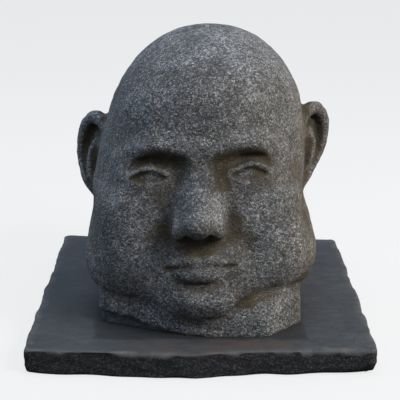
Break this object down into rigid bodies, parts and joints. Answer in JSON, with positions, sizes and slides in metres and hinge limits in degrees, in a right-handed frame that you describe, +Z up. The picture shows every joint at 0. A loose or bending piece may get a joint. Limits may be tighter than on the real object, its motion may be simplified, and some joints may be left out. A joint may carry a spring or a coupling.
{
  "type": "stone head sculpture",
  "caption": "Carved bald stone head with broad cheeks and standing ears, cut with its hewn block from one stone, resting on a square split-stone slab.",
  "frame": {"origin": "centre of the slab's underside, which is the bottom centre of the whole part's box", "axes": "+Z up; the face looks towards -Y; +X is the viewer's right when facing the sculpture"},
  "size_m": [0.5064, 0.5204, 0.46],
  "materials": {
    "carved_stone": "weathered dark speckled granite, matt, brown soiling in the hollows",
    "split_slab": "dark split paving stone, matt, finely riven top and rough broken edges"
  },
  "bodies": {
    "root": {"head": "carved_stone", "base_slab": "split_slab"}
  },
  "joints": []
}
